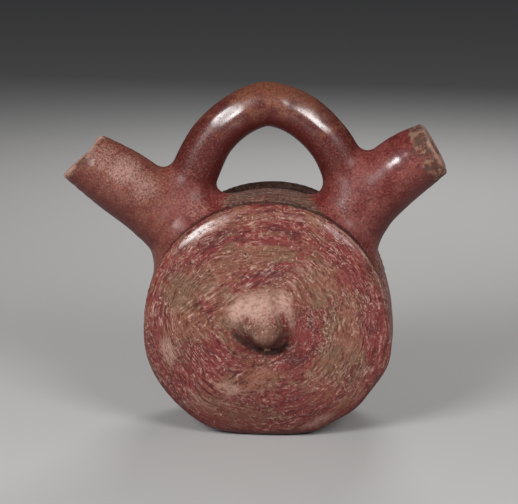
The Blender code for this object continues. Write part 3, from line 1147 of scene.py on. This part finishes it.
# %% The burnished slip: its colour
def slip_colour(place, stroke, masks, fine):
    """The colour, and for the gloss and the relief how bare the clay is, the scratches and their light."""
    brushed, tubes, flecked, knob = (masks[name] for name in ("brushed", "tubes", "flecked", "knob"))
    mottle = mottling(place, 230, 7, 0.74)
    grit = mottling(place, 1150, 3, 0.6)

    wear = between(product(brushed, 0.6), mottle, mottling(stroke, 125, 7, 0.74))
    wear = raised(between(tubes, wear, grit), (masks["worn"], 0.105), (tubes, -0.1), (flecked, 0.07))
    bare = from_to(wear, 0.45, 0.58)

    shade = between(brushed, mottling(place, 55, 3), mottling(stroke, 60, 5))
    slip = tinted(from_to(shade, 0.36, 0.52), SLIP_DEEP, SLIP_RED)
    blotches = between(0.6, mottle, mottling(place, 80, 4, 0.6))
    slip = covered(slip, tinted(from_to(blotches, 0.43, 0.56), SLIP_SATIN, SLIP_WARM), tubes, 0.8)
    slip = covered(slip, SLIP_OCHRE, masks["left"], from_to(mottle, 0.38, 0.6, 0.3, 1))
    height = add("SeparateXYZ", {0: place}, 2)
    ochre = sums("ADD", mottling(place, 110, 6, 0.65), from_to(height, 0.13, 0.158, -0.1, 0.12))
    slip = tinted(masks["arch"], slip, tinted(from_to(ochre, 0.46, 0.66), ARCH_BROWN, ARCH_OCHRE))
    clay = tinted(from_to(mottling(place, 75, 5), 0.42, 0.62), CLAY_TAN, CLAY_GREEN)
    clay = covered(covered(clay, KNOB_CLAY, knob, 0.7), CREST_GREY, masks["crest"], 0.55)
    colour = covered(slip, clay, bare, between(tubes, 1, 0.24))

    scratch = between(product(brushed, 0.8), fine, scratches(place, stroke, masks))
    scratch = between(tubes, scratch, grit)
    crowd = from_to(mottling(place, 180, 4, 0.6), 0.38, 0.6, 0.16, 0.34)
    thick = between(tubes, crowd, from_to(flecked, 0, 1, 0.16, 0.3))
    dots = product(flecks(place, 900, thick, 0.04), between(tubes, 1, 0.8))
    uneven = product(sums("SUBTRACT", scratch, 0.5), between(sums("MAXIMUM", tubes, knob), 2.4, 1.2))
    # The pale mask lays cream on the pale patches and paints the highlights and sheen, broken up by the
    # scratches.
    pale = from_to(raised(uneven, (masks["pale"], 0.72)), 0.1, 0.9)
    pale = product(pale, from_to(masks["pale"], 0, 0.3), 0.85)
    strength = between(tubes, from_to(mottling(place, 85, 3), 0.38, 0.6, 0.36, 0.92), 0.12)
    light = sums("MAXIMUM", sums("MAXIMUM", dots, pale), product(from_to(scratch, 0.5, 0.62), strength))
    colour = covered(colour, CREAM, light, between(tubes, 1, 0.68))
    strength = between(tubes, between(knob, between(bare, 1, 0.9), 0.22), 0.3)
    return covered(colour, SLIP_DARK, from_to(scratch, 0.49, 0.39), strength), bare, scratch, light


def lip_colour(place, masks, fine):
    """The bare clay of the lips, dingy in places and pale along the edge, where a highlight is painted too.
    """
    colour = tinted(from_to(fine, 0.34, 0.62), CLAY_TAN, LIP_CLAY)
    colour = covered(colour, SLIP_DARK, flecks(place, 600, 0.42), 0.7)
    colour = tinted(from_to(mottling(place, 340, 4), 0.4, 0.55, 0, 0.85), colour, LIP_DINGY)
    return covered(colour, CREAM, masks["pale"], from_to(masks["left"], 0, 1, 0.35, 0.62))


# %% Materials, and relief on them
RELIEF_DEPTH = 0.0006
CLAY_RELIEF_DEPTH = 0.0004


def new_material(name):
    """A material, with its node tree and its shader."""
    material = bpy.data.materials.new(name)
    material.use_nodes = True
    return material, material.node_tree, material.node_tree.nodes["Principled BSDF"]


def bumped(relief, depth):
    return add("Bump", {"Height": relief, "Strength": 1, "Distance": depth}, "Normal")


# %% The burnished slip: painted shade and dirt, gloss and relief
def burnished_slip():
    material, tree, shader = new_material("burnished red slip")
    place = add("TexCoord", {}, "Object", tree)
    stroke = stroke_place(tree, place)
    masks = {name: guide(tree, name) for name in GUIDES}
    arch, tubes, lip, shade_and_dirt = (masks[name] for name in ("arch", "tubes", "lip", "shade_and_dirt"))
    fine = mottling(place, 620, 5, 0.7)
    colour, bare, scratch, light = slip_colour(place, stroke, masks, fine)
    sand, pits = grained(place, 1300)

    dark = flecks(place, 1000, between(tubes, 0.24, from_to(masks["flecked"], 0, 1, 0.26, 0.36)))
    patchy = from_to(mottling(place, 130, 3), 0.42, 0.58, 0.3, 0.6)
    dark = product(sums("MAXIMUM", dark, pits), between(tubes, 0.5, patchy))
    rings = mottling(add("Mapping", {"Vector": place, "Scale": (40, 900, 40)}), 1, 2)
    # Layers over the colour: dark flecks and pits, dark grain on the tubes, rings on the crest, painted shade
    # where the surface faces down and towards the bottom, painted shade and dirt in the grooves, the marks,
    # the slot behind the rim and at the back, then the lips' bare clay.
    for cover, *shares in (
        (SOOT_AND_SHADE, dark, from_to(masks["knob"], 0, 1, 1, 0.2)),
        (SOOT_AND_SHADE, tubes, from_to(fine, 0.34, 0.56, 0.32, 0)),
        (SOOT_AND_SHADE, masks["crest"], from_to(rings, 0.5, 0.58), 0.5),
        (SLIP_DARK, masks["shade"], 0.85),
        (SOOT_AND_SHADE, shade_and_dirt, 0.88),
        (lip_colour(place, masks, fine), lip, from_to(mottling(place, 330, 4), 0.32, 0.46)),
    ):
        colour = covered(colour, cover, *shares)

    # The lips and the places of painted shade and dirt are rougher and lose their gloss.
    lips_dirt_and_shade = sums("MAXIMUM", lip, shade_and_dirt)
    dull = between(arch, between(tubes, between(bare, 0.44, 0.6), 0.46), 0.4)
    dull = sums("ADD", between(lips_dirt_and_shade, dull, 0.8), from_to(sand, 0.2, 0.8, -0.06, 0.08))

    gloss = between(tubes, between(bare, 0.24, 0.08), 0.05)
    gloss = sums("MAXIMUM", gloss, product(masks["rim"], 0.35))
    gloss = product(
        sums("MAXIMUM", gloss, masks["polish"]),
        from_to(fine, 0.34, 0.48, 0.5, 1),
        between(tubes, from_to(scratch, 0.4, 0.5, 0.35, 1), 1),
        from_to(masks["shade"], 0, 1, 1, 0.2),
        from_to(sums("MAXIMUM", lips_dirt_and_shade, masks["knob"]), 0, 0.6, 1, 0),
    )

    relief = product(scratch, between(tubes, 1.35, 0.16))
    relief = raised(relief, (sand, between(tubes, 0.24, 0.14)), (light, 0.12), (pits, -0.16))
    wire(shader, {"Base Color": colour, "Roughness": dull, "Normal": bumped(relief, RELIEF_DEPTH)})
    wire(shader, {"Coat Weight": gloss, "Coat Roughness": 0.2, "Coat IOR": 1.9, "Specular IOR Level": 0.3})
    return material


# %% The raw clay inside
def raw_clay():
    material, tree, shader = new_material("raw clay")
    place = add("TexCoord", {}, "Object", tree)
    sand, pits = grained(place, 800)
    colour = tinted(from_to(mottling(place, 90), 0.35, 0.65), CLAY_GREEN, CLAY_TAN)
    colour = covered(colour, SOOT_AND_SHADE, flecks(place, 500, 0.3), 0.5)
    dull = from_to(sand, 0.2, 0.8, 0.68, 0.86)
    relief = bumped(raised(sand, (pits, -0.6)), CLAY_RELIEF_DEPTH)
    wire(shader, {"Base Color": colour, "Roughness": dull, "Normal": relief})
    return material


# %% Finishes on the pot
INSIDE_DEPTH = 0.0025
pot.data.materials.clear()
for finish in (burnished_slip(), raw_clay()):
    pot.data.materials.append(finish)
inside = outer_gap(points_of(pot.data.polygons, "center")) < -INSIDE_DEPTH
pot.data.polygons.foreach_set("material_index", inside.astype(np.int32))
print("faces inside:", int(inside.sum()))

# %% Smooth shading, and the pot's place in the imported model
pot.data.shade_smooth()
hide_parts("vessel")
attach(pot, "root")

# %% [markdown]
# ## The studio
#
# A pale floor and soft lamps stand in for a photographer's table. The highlights on the pot say where the
# two main lamps were: one on each side of the camera, about 35 degrees round and 30 degrees up. A third one
# behind the pot shows its back.

# %% Floor
FLOOR_SIZE = 6.0
work = bmesh.new()
bmesh.ops.create_grid(work, x_segments=1, y_segments=1, size=FLOOR_SIZE / 2)
floor = new_object("floor", finished_mesh(work, "floor"))
floor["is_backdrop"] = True

paper, _, paper_shader = new_material("pale paper")
wire(paper_shader, {"Base Color": (0.56, 0.55, 0.54, 1), "Roughness": 0.9})
floor.data.materials.append(paper)

# %% Lamps and the light of the room
LAMP_DISTANCE = 0.9
LAMP_SIZE = 0.34
# Name, turn to the right of the front and rise, both in degrees, and watts.
LAMPS = (
    ("left lamp", -35.5, 29, 5.4),
    ("right lamp", 36, 30.5, 3.65),
    ("back lamp", 172, 38, 3.2),
)
middle = Vector((0, 0, 0.07))
for name, turn, rise, watts in LAMPS:
    lamp = bpy.data.lights.new(name, "AREA")
    lamp.shape = "SQUARE"
    lamp.size = LAMP_SIZE
    lamp.energy = watts
    obj = new_object(name, lamp)
    facing(obj, middle + direction(math.radians(turn), math.radians(rise)) * LAMP_DISTANCE, middle)
    obj.visible_glossy = abs(turn) < 90  # no streak of its own from the lamp behind

world = bpy.data.worlds.new("room")
world.use_nodes = True
wire(world.node_tree.nodes["Background"], {"Color": (0.9, 0.93, 1.0, 1), "Strength": 0.05})
bpy.context.scene.world = world
bpy.context.scene.view_settings.view_transform = "Standard"
